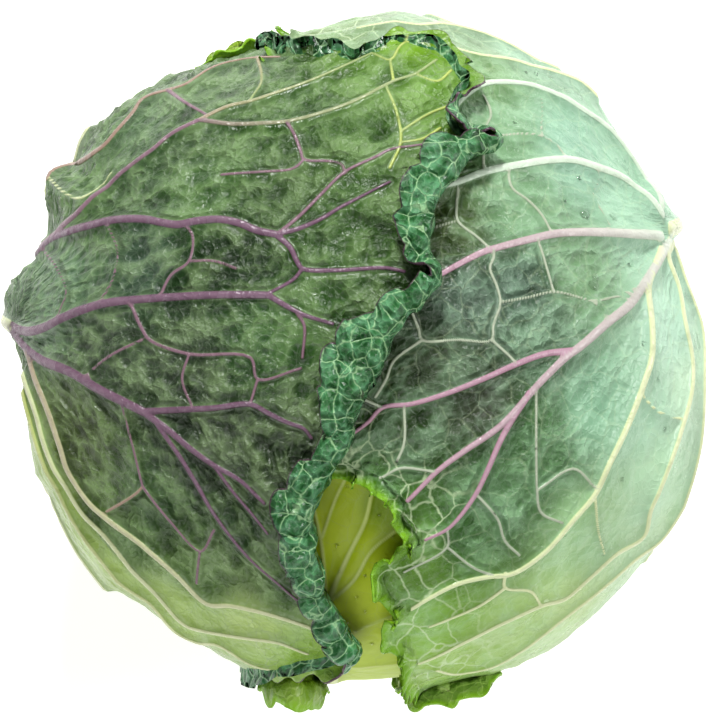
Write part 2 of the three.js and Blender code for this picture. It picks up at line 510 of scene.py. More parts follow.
def leafMaterial(look):
    material = bpy.data.materials.new(look["name"])
    material.use_nodes = True
    tree = material.node_tree
    tree.nodes.clear()
    spot = addNode(tree, "TexCoord").outputs["Object"]
    written = ("blade", "rib", "ribGap", "depth", "hem", "margin", "crisp", "grain", "grainRun")
    attribute = {name: addNode(tree, "Attribute", {"attribute_name": name}) for name in written}
    number = {name: node.outputs["Fac"] for name, node in attribute.items()}
    perMm = 1 / metre
    mottle = addNode(tree, "TexNoise", None,
        {"Vector": spot, "Scale": perMm / look["mottleSize"], "Detail": 6, "Roughness": 0.65})
    # crumples: sharp crests round bowls, large ones drawn out along the leaf and small ones any way
    twist = addNode(tree, "TexNoise", None,
        {"Vector": spot, "Scale": perMm / look["twistSize"], "Detail": 3})
    twisted = addNode(tree, "VectorMath", timesPlus,
        {0: twist.outputs["Color"], 1: (look["twist"] * metre,) * 3, 2: spot})
    twistedGrain = addNode(tree, "VectorMath", timesPlus,
        {0: twist.outputs["Color"], 1: (look["twist"],) * 3, 2: attribute["grain"].outputs["Vector"]})
    folds = addNode(tree, "TexVoronoi", {"voronoi_dimensions": "4D"},
        {"Vector": twistedGrain, "W": number["grainRun"], "Scale": 1 / look["foldSize"]})
    dimples = addNode(tree, "TexVoronoi", None, {"Vector": twisted, "Scale": perMm / look["dimpleSize"]})
    dimple = addNode(tree, "Math", power, {0: dimples, 1: 1.7})
    dimpleHeight = addNode(tree, "Math", times, {0: dimple, 1: 1 - look["foldShare"]})
    fold = addNode(tree, "Math", power, {0: folds, 1: 1.7})
    bowl = addNode(tree, "Math", timesPlus, {0: fold, 1: look["foldShare"], 2: dimpleHeight})
    skin = addNode(tree, "TexNoise", None,
        {"Vector": twisted, "Scale": perMm / look["skinSize"], "Detail": 4, "Roughness": 0.6})
    crest = addNode(tree, "Math", timesPlus, {0: skin, 1: look["skinShare"], 2: bowl})
    calm = addNode(tree, "TexNoise", None,
        {"Vector": spot, "Scale": perMm / look["calmSize"], "Detail": 2})
    offRib = addNode(tree, "MapRange", eased,
        {"Value": number["ribGap"], "From Min": 0.0, "From Max": 2.0, "To Min": 0.15})
    busy = addNode(tree, "MapRange", None,
        {"Value": calm, "From Min": 0.38, "From Max": 0.6, "To Min": look["calmest"]})
    free = addNode(tree, "Math", times, {0: offRib, 1: busy})
    reach = addNode(tree, "Math", times, {0: free, 1: number["crisp"]})
    crestHeight = addNode(tree, "Math", times, {0: crest, 1: reach})
    # blade: painted shade darkens the hollows; the crests carry wax bloom, lightened further as a painted
    # highlight
    own = addNode(tree, "Mix", mixed, {0: mottle, 6: rgba(look["ownDark"]), 7: rgba(look["ownLight"])})
    base = addNode(tree, "Mix", mixed,
        {0: look["ownShare"], 6: attribute["blade"].outputs["Color"], 7: own})
    hollowShadeAmount = addNode(tree, "Math", times, {0: number["crisp"], 1: look["hollowShade"]})
    # painted shade: the hollows are multiplied towards a darker shade colour
    paintedHollowShade = addNode(tree, "Mix", shaded, {0: hollowShadeAmount, 6: base, 7: rgba(look["hollowShadeColour"])})
    spread = addNode(tree, "Math", timesPlus, {0: mottle, 1: look["mottleShare"], 2: look["darkening"]})
    level = addNode(tree, "Math", timesPlus, {0: bowl, 1: look["bowlShare"], 2: spread})
    lifted = addNode(tree, "Math", {"operation": "MULTIPLY_ADD", "use_clamp": True},
        {0: number["depth"], 1: look["crumpleShare"], 2: level})
    blade = addNode(tree, "Mix", mixed, {0: lifted, 6: paintedHollowShade, 7: base})
    # painted highlight: the highest crests are greyed and lightened, partly wax bloom and partly a painted
    # highlight
    crestWaxAndHighlightAmount = addNode(tree, "MapRange", None,
        {"Value": lifted, "From Min": 0.45, "From Max": 1.0, "To Min": 0.0, "To Max": look["crestWaxAndHighlight"]})
    crestWaxAndHighlighted = addNode(tree, "Mix", mixed, {0: crestWaxAndHighlightAmount, 6: blade, 7: rgba(look["crestWaxAndHighlightColour"])})
    # two sizes of fine veins
    veins = addNode(tree, "TexVoronoi", toEdge, {"Vector": twisted, "Scale": perMm / look["veinSpacing"]})
    veinLine = addNode(tree, "MapRange", eased,
        {"Value": veins, "From Max": look["veinWidth"], "To Min": 1.0, "To Max": 0.0})
    veinAmount = addNode(tree, "Math", times, {0: veinLine, 1: look["veinShow"]})
    fineVeined = addNode(tree, "Mix", mixed, {0: veinAmount, 6: crestWaxAndHighlighted, 7: rgba(look["veinColour"])})
    net = addNode(tree, "TexVoronoi", toEdge, {"Vector": twisted, "Scale": perMm / look["netSpacing"]})
    netLine = addNode(tree, "MapRange", eased,
        {"Value": net, "From Max": look["netWidth"], "To Min": 1.0, "To Max": 0.0})
    netShow = addNode(tree, "MapRange", eased,
        {"Value": number["margin"], "From Min": 0.55, "From Max": 0.85, "To Min": look["netShow"][0],
         "To Max": look["netShow"][1]})
    netCover = addNode(tree, "Math", times, {0: netLine, 1: netShow})
    netted = addNode(tree, "Mix", mixed, {0: netCover, 6: fineVeined, 7: rgba(look["netColour"])})
    # ribs: painted shade on the blade beside them, a painted highlight along their tops
    # painted shade: the blade darkens towards the foot of each rib
    ribFootShade = addNode(tree, "MapRange", eased,
        {"Value": number["ribGap"], "From Min": 0.0, "From Max": 2.6, "To Min": look["ribFootShade"],
         "To Max": 0.0})
    ribFootShaded = addNode(tree, "Mix", shaded, {0: ribFootShade, 6: netted, 7: rgba(look["ribFootShadeColour"])})
    # painted highlight: a lighter colour along the top of each rib
    ribHighlight = addNode(tree, "MapRange", None,
        {"Value": number["ribGap"], "From Min": 0.1, "From Max": -1.2, "To Max": look["ribLit"]})
    ribLit = addNode(tree, "Mix", mixed,
        {0: ribHighlight, 6: attribute["rib"].outputs["Color"], 7: rgba(look["ribHighlight"])})
    ribCover = addNode(tree, "MapRange", eased,
        {"Value": number["ribGap"], "From Min": look["ribSoft"], "From Max": -0.12})
    ribbed = addNode(tree, "Mix", mixed, {0: ribCover, 6: ribFootShaded, 7: ribLit})
    edgeAmount = addNode(tree, "MapRange", eased,
        {"Value": number["hem"], "From Min": look["edgeFrom"], "From Max": 1.0})
    edged = addNode(tree, "Mix", mixed, {0: edgeAmount, 6: ribbed, 7: rgba(look["edgeColour"])})
    # skin relief
    veinHeight = addNode(tree, "Math", timesPlus, {0: veinLine, 1: look["veinRelief"], 2: crestHeight})
    pillow = addNode(tree, "MapRange", eased, {"Value": net, "From Max": 0.3, "To Max": look["pillow"]})
    netHeight = addNode(tree, "Math", {"operation": "ADD"}, {0: pillow, 1: veinHeight})
    ribHeight = addNode(tree, "Math", timesPlus, {0: ribCover, 1: look["ribRelief"], 2: netHeight})
    bump = addNode(tree, "Bump", None,
        {"Height": ribHeight, "Strength": 1.0, "Distance": look["reliefDepth"] * metre})
    gloss = addNode(tree, "MapRange", None,
        {"Value": mottle, "From Min": 0.3, "From Max": 0.7, "To Min": look["roughness"][0],
         "To Max": look["roughness"][1]})
    shader = addNode(tree, "BsdfPrincipled", None,
        {"Base Color": edged, "Roughness": gloss, "Normal": bump, "IOR": 1.42,
         "Specular IOR Level": look["shine"]})
    addNode(tree, "OutputMaterial", None, {"Surface": shader})
    return material


# Savoy blade seen from its ribbed side: a waxy skin over crumpled flesh. The crests are painted grey and
# light, wax bloom and painted highlight together, and the hollows are painted deep green shade.
ribbedSide = {
    "ownShare": 0.0, "ownDark": "#3f6a35", "ownLight": "#5d8a4c", "mottleSize": 7, "twist": 3.5,
    "twistSize": 7, "foldSize": 3.8, "dimpleSize": 2.4, "foldShare": 0.72, "skinSize": 1.3,
    "skinShare": 0.2, "calmSize": 18, "calmest": 0.5,
    # how light the blade is, by the mottle, the bowls of the skin and the crumples of the mesh: low parts
    # take the painted hollow shade
    "mottleShare": 0.7, "bowlShare": 1.5, "crumpleShare": 0.9, "darkening": -0.32,
    "hollowShade": 0.95, "hollowShadeColour": "#5c743c", "crestWaxAndHighlight": 0.4, "crestWaxAndHighlightColour": "#8aa470",
    "veinSpacing": 2.4, "veinWidth": 0.08, "veinShow": 0.07, "veinColour": "#8a9c7c",
    "netSpacing": 7, "netWidth": 0.035, "netShow": (0.12, 0.35), "netColour": "#86957c", "pillow": 0.08,
    "ribFootShade": 0.1, "ribFootShadeColour": "#5c6a4a", "ribRelief": 0.04, "ribSoft": 0.22, "ribLit": 0.3,
    "ribHighlight": "#a8939f", "edgeFrom": 0.96, "edgeColour": "#4b3340", "veinRelief": 0.012,
    "reliefDepth": 3.6, "roughness": (0.22, 0.4), "shine": 0.5,
}
purpleLeaf = leafMaterial({**ribbedSide, "name": "purple_ribbed_savoy_leaf"})
# The smooth upper side that the rolled margin shows: bluer, glossier, with a pale sunken net.
rolledSide = leafMaterial({
    **ribbedSide, "name": "glossy_upper_side_of_savoy_leaf",
    "ownShare": 1.0, "ownDark": "#164a26", "ownLight": "#4f9c58", "hollowShadeColour": "#4f7c48", "crestWaxAndHighlight": 0.3,
    "crestWaxAndHighlightColour": "#86c09a", "veinShow": 0.12, "veinColour": "#7fb56c",
    "netSpacing": 5.5, "netWidth": 0.05,
    "netShow": (0.6, 0.6), "netColour": "#a8d29a", "pillow": 0.4, "foldShare": 0.3, "reliefDepth": 3.2,
    "roughness": (0.2, 0.36),
})
# A heavy wax bloom, with the painted light in the leaf's pale colour spots, makes this leaf mint green; the
# bloom makes its shine milky.
mintLeaf = leafMaterial({
    **ribbedSide, "name": "mint_bloomed_savoy_leaf",
    "hollowShadeColour": "#78955c", "crestWaxAndHighlight": 0.28, "crestWaxAndHighlightColour": "#9cc29c", "veinShow": 0.05,
    "veinColour": "#b5ceb0", "netShow": (0.12, 0.65), "netWidth": 0.045, "netSpacing": 9,
    "netColour": "#c8dcae", "ribHighlight": "#e2e0dc", "edgeFrom": 0.15, "edgeColour": "#78ab22",
})
# A young leaf with hardly any wax: smooth, thin and yellow-green.
youngLeaf = leafMaterial({
    **ribbedSide, "name": "smooth_young_cabbage_leaf",
    "hollowShadeColour": "#a5b560", "crestWaxAndHighlight": 0.1, "crestWaxAndHighlightColour": "#a9bb48", "veinShow": 0.1,
    "veinColour": "#a4b646", "netShow": (0.1, 0.1), "ribHighlight": "#e2eaa8", "ribLit": 0.85,
    "edgeColour": "#6f9c1c", "reliefDepth": 1.2, "ribSoft": 0.5, "roughness": (0.36, 0.5),
    "dimpleSize": 7, "foldSize": 12, "shine": 0.3,
})
# An old low leaf: fresh green, thick pale ribs, a light bloom.
greenLeaf = leafMaterial({
    **ribbedSide, "name": "fresh_green_savoy_leaf",
    "hollowShadeColour": "#86a04c", "crestWaxAndHighlight": 0.2, "crestWaxAndHighlightColour": "#a9c46c", "netShow": (0.3, 0.6),
    "netColour": "#b5cf70", "ribHighlight": "#e0e6c4", "edgeFrom": 0.6, "edgeColour": "#82b518",
})
print("leaf materials ready")

# ---- the dark leaf over the left of the head

leftLeaf = {
    "name": "dark_left_leaf", "node": "left_leaf", "slot": "dark_leaf",
    "materials": (purpleLeaf, rolledSide),
    "cells": 106, "finer": (50, 1.2), "bladeShare": 0.84, "thickness": 0.7, "lift": 7.5,
    "middle": (-60, -5), "knuckle": (-96, 9), "lowestSeen": 78.0,
    "ribHeight": 0.72, "rollRadius": 2.6, "paintBlur": 6,
    "ruffle": {"length": 9, "scallop": 0.2, "swing": 8, "wave": 1.3},
    "relief": {"cell": 9, "wrinkle": 5, "stretch": 2.6, "quilt": 1.2, "height": 2.6, "broad": 0.9,
               "pocket": 0.4, "puff": 1.3},
    "girth": [
        (60, 3), (75, 3.5), (85, 2.5), (95, -2), (104, -7), (112, -6), (119, -4), (128, -1), (137, 1),
        (142, 0), (145.6, -2), (148.8, 3), (151.4, 3), (157.4, -3.8), (162.7, -3), (167, 2), (170.3, 3),
        (173, 1), (180, -2.5), (191, -2.3), (200, -0.5), (204, -2), (215, -1.2), (223, -1.5), (229, -5),
        (243, -6), (253, -3.5), (262, -5), (300, -5), (30, 0),
    ],
    "lumps": [
        (18, 40, 14, 2.5), (4, 4, 10, 2.5), (-10, -48, 12, 2.5), (22, 78, 12, 1.5), (-50, 12, 10, -1.5),
    ],
    "outline": [
        *below((184, 163, 2, 10), (214, 148, 2, 10), (238, 126, 2, 10), (249, 106, 2, 15)),
        (-24, -87.5, 3, 30), (-14, -85.5, 3, 60), (-6, -84, 3, 110), (-1, -81, 4, 170), (-4, -75, 5, 186),
        (-8, -69, 5, 186), (-10, -64, 5, 188), (-11, -59, 6.5, 190), (-13, -53, 7, 190),
        (-12.5, -48, 8, 190), (-13.5, -43, 8, 190), (-11.5, -36, 7, 190), (-8.5, -29, 5, 190),
        (-4.5, -22.5, 4, 186), (-4, -17.5, 5, 186), (-1, -11, 9, 190), (3, -4, 12, 190), (7, 3, 11, 190),
        (9.5, 9, 7, 190), (14, 14, 4, 190), (19, 19, 3, 180), (20.5, 24.5, 2, 180), (18.5, 30, 6, 186),
        (19, 36, 7.5, 190), (20, 42, 8, 190), (23, 47.5, 8.5, 190), (26, 52, 8, 188), (31, 56, 5, 170),
        (37, 60, 3.5, 120), (30, 62.5, 4, 150), (26.5, 66, 4, 150), (26, 70, 3, 110), (28, 74.5, 3, 60),
        (30, 77, 4, 40), (27, 80.5, 4, 35), (25.5, 83.5, 4, 35), (21, 87, 4, 35), (14, 88, 4, 30),
        (8, 87, 4, 25), (6, 84.5, 3, 20), (0, 84, 2, 20), (-8, 86, 2, 15), (-15, 86, 2, 15),
        (-22, 86.5, 2, 15),
        *below((107, 94, 2, 10), (118, 106, 2, 10), (129, 126, 2, 10), (140, 148, 2, 10),
        (158, 163, 2, 10)),
    ],
    "paint": [
        (-60, 27, "#4e6a54"), (-84, 22, "#668a68"), (-93, 12, "#7d9e7a"), (-88, 17, "#7ea07e"),
        (-80, 45, "#648a52"), (-45, 46, "#4f7a3a"), (-34, 28, "#2f4a26"), (-45, 24, "#34552a"),
        (-50, 62, "#486a3a"), (-20, 70, "#4f7638"), (10, 80, "#5c8a30"), (24, 86, "#82b42c"),
        (14, 88, "#8bbd34"), (28, 68, "#6fa030"), (20, 76, "#76a838"), (-20, 48, "#486a34"),
        (14, 42, "#547a3c"), (5, 62, "#547f34"), (-5, 26, "#446a2e"), (-8, 12, "#3f6a2a"),
        (-25, 6, "#3f6a32"), (-50, 0, "#43573c"), (-72, 2, "#4f6348"), (-40, -26, "#4a5a42"),
        (-22, -28, "#465a3c"), (-50, -26, "#3c4f38"), (-60, -40, "#476a3c"), (-34, -48, "#43603a"),
        # the spots from (-90, -24) to (-14, -82) along the low rim are lighter than the leaf's own colour:
        # painted light where the lamps reach less
        (-80, -22, "#4f6030"), (-90, -24, "#a5c26a"), (-84, -38, "#abc964"), (-72, -58, "#b4d26c"),
        (-52, -70, "#b0ce6e"), (-30, -74, "#bcd878"), (-14, -82, "#9cc64c"), (-20, -66, "#5f8248"),
        (-44, -62, "#6f9450"), (-66, -50, "#5f8446"), (-70, -42, "#5a7538"), (-34, 80, "#5f8050"),
        (-60, 66, "#64885a"), (-74, 40, "#567a44"), (200, 130, "under", "#b4c877"),
        (165, 125, "under", "#a9c07a"), (130, 115, "under", "#8fae66"),
    ],
    "ribs": [
        ("tan", 3.0, 1.3, [(-86, 50), (-82, 53), (-75, 56), (-70, 60), (-63, 68), (-60, 72), (-53, 74.5),
         (-48, 76), (-40, 81), (-33, 83), (-22, 84)]),
        ("mauve", 1.6, 1.0, [(-53, 74.5), (-48, 71), (-42, 67.5)]),
        ("cream", 1.3, 0.9, [(-86, 50), (-77, 45), (-69, 52)]),
        ("mauve", 2.6, 2.0, [(-88, 31), (-83, 36), (-78, 41), (-73, 46), (-68, 50), (-63, 54), (-57, 58),
         (-52, 62), (-44, 66)]),
        ("tan leafy", 1.9, 1.0, [(-44, 66), (-36, 70), (-30, 71.5), (-20, 75), (-12, 78), (-5, 81),
         (4, 85)]),
        ("mauve leafy", 2.0, 1.0, [(-44, 66), (-35, 65), (-25, 65.5), (-20, 66), (-10, 68.5), (0, 72),
         (10, 77), (16, 79), (22, 83)]),
        ("leafy lime", 0.9, 0.6, [(4, 85), (9, 83), (12, 87), (17, 90)]),
        ("leafy lime", 0.8, 0.6, [(9, 83), (10, 77)]),
        ("leafy lime", 0.8, 0.6, [(16, 79), (22, 77), (26, 80)]),
        ("leafy lime", 0.8, 0.6, [(8, 75.5), (11, 68), (12, 60), (9, 53)]),
        ("leafy lime", 0.8, 0.6, [(12, 63), (20, 68), (25, 70)]),
        ("leafy lime", 0.7, 0.6, [(12, 60), (18, 61), (23, 64)]),
        ("tan leafy", 1.2, 0.7, [(-28, 84), (-27, 77), (-30, 72)]),
        ("mauve", 1.3, 0.9, [(-20, 66), (-18, 63), (-16, 58), (-15, 55.5), (-8, 55), (-4.5, 54),
         (-3.5, 51.5)]),
        ("mauve", 1.1, 0.7, [(-15, 55.5), (-18, 53), (-27, 52), (-38, 51)]),
        ("purple", 3.2, 2.6, [(-89, 29), (-85, 33), (-80, 35.5), (-75, 37), (-68, 38.5), (-60, 38.5),
         (-50, 37), (-45, 38), (-38, 38.5), (-33, 37.5), (-28, 35.5), (-23, 34.5)]),
        ("purple", 1.9, 1.0, [(-23, 34.5), (-17, 36), (-10, 39), (-5, 42), (0, 44.5), (9, 49)]),
        ("mauve", 1.4, 0.9, [(-22, 35), (-16, 40), (-10, 46), (-3.5, 52), (5, 56), (9, 58), (15, 59),
         (25, 60)]),
        ("purple", 2.1, 1.2, [(-23, 34.5), (-19, 31), (-17, 27), (-15.5, 25), (-5, 24.5), (8, 25),
         (13, 24)]),
        ("purple", 1.4, 1.2, [(-15.5, 25), (-18, 22), (-25, 18)]),
        ("purple", 3.6, 2.6, [(-97, 10), (-92, 7.5), (-87, 8.5), (-82, 11), (-77, 13), (-70, 15),
         (-62, 16), (-50, 17), (-40, 17.5), (-25, 17.5)]),
        ("purple", 2.2, 1.2, [(-25, 17.5), (-20, 14.5), (-15, 12), (-7, 9.5)]),
        ("mauve", 1.3, 1.0, [(-17, 12.5), (-15, 9), (-15.5, 0)]),
        ("mauve", 1.2, 0.8, [(-72, 14.5), (-68, 22), (-67, 30), (-70, 37)]),
        ("mauve", 1.2, 0.8, [(-55, 17), (-52, 23), (-47, 27), (-46, 34), (-48, 37)]),
        ("mauve", 0.9, 0.6, [(-47, 27), (-40, 27), (-34, 25)]),
        ("mauve", 1.2, 0.9, [(-88, 31), (-84, 25), (-81, 18), (-83, 12)]),
        ("purple", 4.4, 3.2, [(-96, 8), (-94, 5), (-90, 1), (-87, -1), (-80, -4), (-72, -9), (-65, -12.5),
         (-60, -15)]),
        ("purple", 2.4, 1.2, [(-60, -15), (-50, -14.5), (-40, -14), (-30, -13), (-25, -15.5), (-20, -18),
         (-15, -20), (-13, -22.5)]),
        ("purple", 2.8, 1.3, [(-60, -15), (-53, -20), (-47, -25), (-40, -30), (-33, -34), (-26, -40.5)]),
        ("purple", 2.0, 0.9, [(-57, -17), (-50, -27), (-45, -35), (-41, -42), (-36, -49), (-30, -56),
         (-22, -63), (-16, -68)]),
        ("purple", 1.5, 0.9, [(-40, -30), (-35, -37), (-29, -44), (-25, -49)]),
        ("mauve", 1.4, 0.9, [(-63, 15), (-60, 8), (-58, 5), (-47, 1), (-30, 0), (-28, -6), (-16, -3)]),
        ("mauve", 1.0, 0.7, [(-77, -6), (-70, 0), (-60, 5)]),
        ("mauve", 1.0, 0.7, [(-28, -6), (-30, -13)]),
        ("mauve", 0.9, 0.7, [(-47, 1), (-49, -6), (-46, -14)]),
        ("tan cream", 3.8, 1.6, [(-92, 2), (-90, -5), (-87, -13), (-83, -25), (-80, -33), (-75, -40),
         (-70, -44.5), (-60, -52), (-50, -61), (-42, -68.5), (-35, -69), (-25, -71), (-15, -74),
         (-8, -77)]),
        ("cream", 3.8, 1.5, [(-93, -5), (-90, -14), (-87, -25), (-82, -35), (-77, -43), (-70, -50),
         (-62, -60), (-55, -67), (-48, -74), (-42, -76), (-30, -78), (-22, -79), (-14, -82)]),
        ("lime cream", 3.8, 1.5, [(-93, -10), (-90, -22), (-86, -33), (-80, -45), (-73, -55), (-65, -64),
         (-57, -69), (-50, -76), (-45, -78.5), (-38, -80), (-30, -85), (-22, -87)]),
        ("tan", 1.1, 0.8, [(-70, -43), (-62, -38), (-60, -36)]),
        ("mauve", 1.2, 0.8, [(-60, -36), (-52, -46), (-44, -54), (-40, -48)]),
        ("mauve", 1.0, 0.8, [(-44, -54), (-45, -63)]),
        ("mauve", 1.0, 0.7, [(-66, -14), (-63, -25), (-60, -36)]),
        # the midrib under the head, from the stem to the knuckle
        ("cream", 15, 5, [*below((171, 163), (172, 145), (172, 122), (173, 104)), (-96, 9)]),
        ("cream", 8, 5, below((173, 118), (192, 108), (205, 100), (222, 96))),
        ("cream", 8, 5, below((173, 130), (200, 124), (220, 114), (236, 106))),
        ("cream", 8, 5, below((172, 112), (158, 104), (148, 96), (140, 90))),
        ("cream", 8, 5, below((172, 132), (155, 124), (140, 112), (126, 102))),
    ],
}

# ---- the mint leaf over the right and the back

